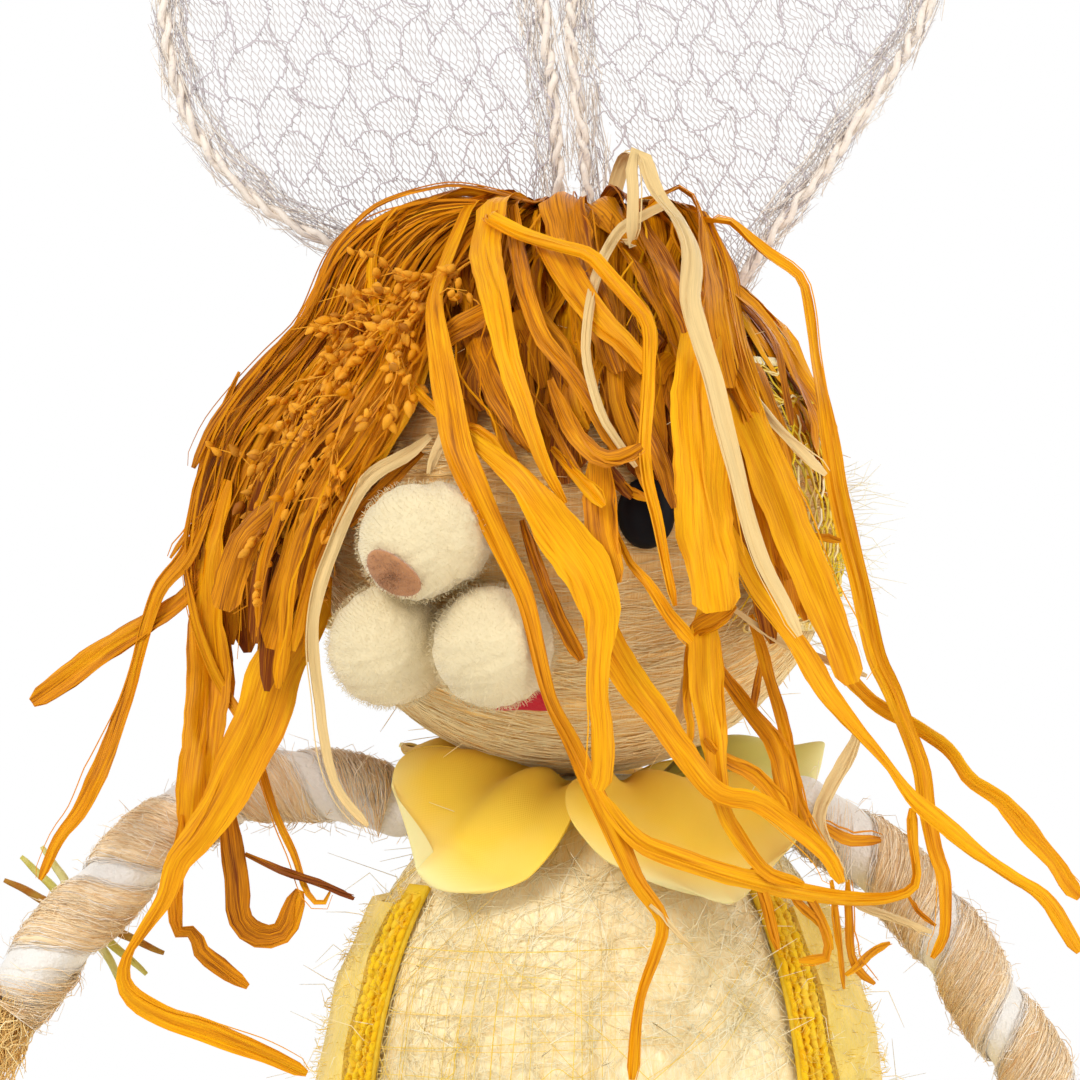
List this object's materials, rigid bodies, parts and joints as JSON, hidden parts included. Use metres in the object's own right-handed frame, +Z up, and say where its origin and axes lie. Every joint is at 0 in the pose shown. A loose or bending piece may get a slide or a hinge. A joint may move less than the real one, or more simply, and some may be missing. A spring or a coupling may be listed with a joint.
{
  "type": "seated sisal rabbit figure",
  "caption": "Seated Easter rabbit of sisal over foam, with net ears, a raffia mop, a petal collar, a felt vest and wire arms that bend.",
  "frame": {"origin": "middle of the flat seat, on the surface that the figure sits on", "axes": "+Z up, -Y the way the body faces, +X to the right of a person who looks at the figure"},
  "size_m": [0.2777, 0.2093, 0.4113],
  "materials": {
    "sisal_tan": "satin",
    "sisal_cream": "satin",
    "foam": "matte",
    "wood": "matte",
    "wire": "satin",
    "cotton": "matte",
    "felt_tan": "matte",
    "felt_red": "matte",
    "felt_yellow": "matte",
    "eye_black": "gloss",
    "raffia": "satin",
    "millet": "matte",
    "ribbon": "matte",
    "petal": "matte",
    "braid": "matte",
    "ear_cord": "matte",
    "ear_net": "matte",
    "stem": "matte"
  },
  "bodies": {
    "root": {"torso_cover": "sisal_cream", "torso_core": "foam", "seat_disc": "felt_yellow", "shoulder_wire": "wire", "head_cover": "sisal_tan", "head_core": "foam", "neck_dowel": "wood", "cheek_left": "cotton", "cheek_right": "cotton", "nose_pompom": "cotton", "nose_tip": "felt_tan", "eye_left": "eye_black", "eye_right": "eye_black", "tongue": "felt_red", "hair_left": "raffia", "hair_front": "raffia", "hair_right": "raffia", "hair_back": "raffia", "hair_knot": "raffia", "millet_sprig": "millet", "ribbon_wrap": "ribbon", "petal_front_left": "petal", "petal_front_right": "petal", "petal_right": "petal", "petal_back": "petal", "petal_left": "petal", "vest": "felt_yellow", "vest_trim_right": "braid", "vest_trim_left": "braid", "leg_left": "foam", "leg_wire_left": "wire", "leg_band_left": "sisal_tan", "foot_left": "sisal_cream", "sole_pad_left": "felt_yellow", "leg_right": "foam", "leg_wire_right": "wire", "leg_band_right": "sisal_tan", "foot_right": "sisal_cream", "sole_pad_right": "felt_yellow", "tail": "cotton"},
    "ear_left": {"ear_hoop_left": "ear_cord", "ear_net_left": "ear_net"},
    "ear_right": {"ear_hoop_right": "ear_cord", "ear_net_right": "ear_net"},
    "arm_left": {"upper_arm_left": "foam", "upper_arm_wire_left": "wire", "upper_arm_band_left": "sisal_tan"},
    "forearm_left": {"forearm_left": "foam", "forearm_wire_left": "wire", "forearm_band_left": "sisal_tan", "hand_tuft_left": "sisal_tan", "posy_stems": "stem"},
    "arm_right": {"upper_arm_right": "foam", "upper_arm_wire_right": "wire", "upper_arm_band_right": "sisal_tan"},
    "forearm_right": {"forearm_right": "foam", "forearm_wire_right": "wire", "forearm_band_right": "sisal_tan", "hand_tuft_right": "sisal_tan"}
  },
  "joints": [
    {"name": "ear_left_tilt", "type": "hinge", "parent": "root", "child": "ear_left", "pos_m": [-0.01725, 0.018, 0.25586], "axis": [0.9768, 0, 0.2141], "range_deg": [-20, 20]},
    {"name": "ear_right_tilt", "type": "hinge", "parent": "root", "child": "ear_right", "pos_m": [0.01075, 0.018, 0.25445], "axis": [0.9604, 0, -0.2785], "range_deg": [-20, 20]},
    {"name": "shoulder_left", "type": "hinge", "parent": "root", "child": "arm_left", "pos_m": [-0.0436, 0, 0.1428], "axis": [0, 1, 0], "range_deg": [-20, 15]},
    {"name": "elbow_left", "type": "hinge", "parent": "arm_left", "child": "forearm_left", "pos_m": [-0.098, -0.001, 0.1356], "axis": [0, 1, 0], "range_deg": [-25, 35]},
    {"name": "shoulder_right", "type": "hinge", "parent": "root", "child": "arm_right", "pos_m": [0.0436, 0, 0.1428], "axis": [0, -1, 0], "range_deg": [-6, 30]},
    {"name": "elbow_right", "type": "hinge", "parent": "arm_right", "child": "forearm_right", "pos_m": [0.0785, -0.001, 0.1114], "axis": [0, -1, 0], "range_deg": [-8, 40]}
  ]
}
